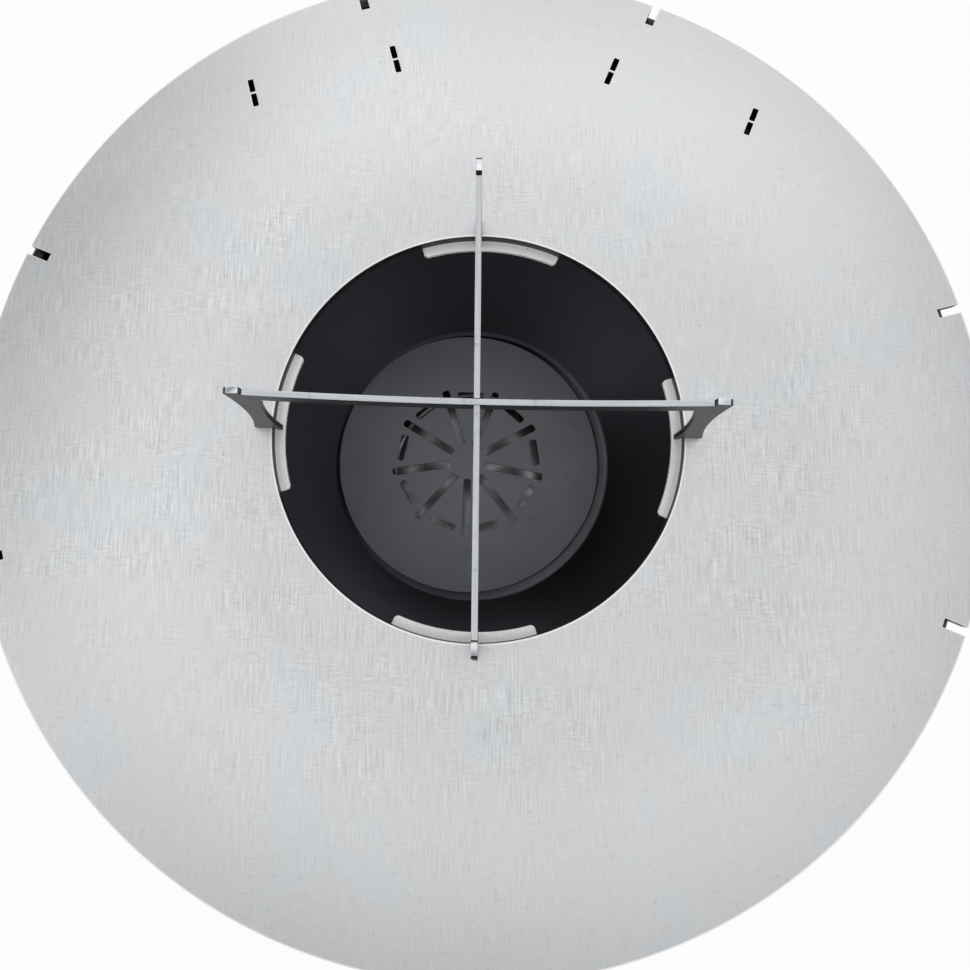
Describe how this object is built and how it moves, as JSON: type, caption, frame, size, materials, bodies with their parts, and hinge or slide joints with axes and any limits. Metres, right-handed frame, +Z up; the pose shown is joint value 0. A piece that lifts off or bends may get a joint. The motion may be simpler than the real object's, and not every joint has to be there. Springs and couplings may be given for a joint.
{
  "type": "fire pit grill",
  "caption": "Ring-shaped steel griddle plate over a round bowl on legs, with a pot cross over the fire opening, a slotted fire grate and an ash pan.",
  "frame": {"origin": "on the ground below the middle of the object's outline, at the base of the feet", "axes": "+Z up, +Y towards the side of the griddle plate that has the small slots, +X to the right of someone facing that side"},
  "size_m": [0.8066, 0.8014, 0.5638],
  "materials": {
    "brushed_plate": "light steel plate with a fine linen-like brushing",
    "cut_steel": "raw cut steel plate, bright edges with dark specks",
    "black_enamel": "smooth semi-gloss black",
    "black_coat": "satin black coating",
    "grate_coat": "dark grey semi-gloss heat-proof coating",
    "zinc": "zinc plated steel fasteners"
  },
  "bodies": {
    "base": {"fire_bowl": "black_enamel", "leg_1": "black_coat", "leg_2": "black_coat", "leg_3": "black_coat", "leg_bolt_1_upper": "zinc", "leg_bolt_1_lower": "zinc", "leg_bolt_2_upper": "zinc", "leg_bolt_2_lower": "zinc", "leg_bolt_3_upper": "zinc", "leg_bolt_3_lower": "zinc", "leg_washer_1_upper": "zinc", "leg_washer_1_lower": "zinc", "leg_washer_2_upper": "zinc", "leg_washer_2_lower": "zinc", "leg_washer_3_upper": "zinc", "leg_washer_3_lower": "zinc", "leg_nut_1_upper": "zinc", "leg_nut_1_lower": "zinc", "leg_nut_2_upper": "zinc", "leg_nut_2_lower": "zinc", "leg_nut_3_upper": "zinc", "leg_nut_3_lower": "zinc"},
    "ash_pan": {"ash_pan": "black_coat"},
    "grate": {"fire_grate": "grate_coat"},
    "plate": {"griddle_plate": "brushed_plate", "east_ledge": "brushed_plate", "north_ledge": "brushed_plate", "west_ledge": "brushed_plate", "south_ledge": "brushed_plate", "locator_1": "brushed_plate", "locator_2": "brushed_plate", "locator_3": "brushed_plate", "locator_4": "brushed_plate"},
    "cross_lower": {"cross_lower_half": "cut_steel"},
    "cross_upper": {"cross_upper_half": "cut_steel"}
  },
  "joints": [
    {"name": "plate_lift", "type": "slide", "parent": "base", "child": "plate", "axis": [0, 0, 1], "range_m": [0, 0.3]},
    {"name": "cross_lift", "type": "slide", "parent": "plate", "child": "cross_lower", "axis": [0, 0, 1], "range_m": [0, 0.16]},
    {"name": "cross_part", "type": "slide", "parent": "cross_lower", "child": "cross_upper", "axis": [0, 0, 1], "range_m": [0, 0.15]},
    {"name": "ash_pan_lift", "type": "slide", "parent": "base", "child": "ash_pan", "axis": [0, 0, 1], "range_m": [0, 0.095]},
    {"name": "grate_lift", "type": "slide", "parent": "ash_pan", "child": "grate", "axis": [0, 0, 1], "range_m": [0, 0.1]}
  ]
}
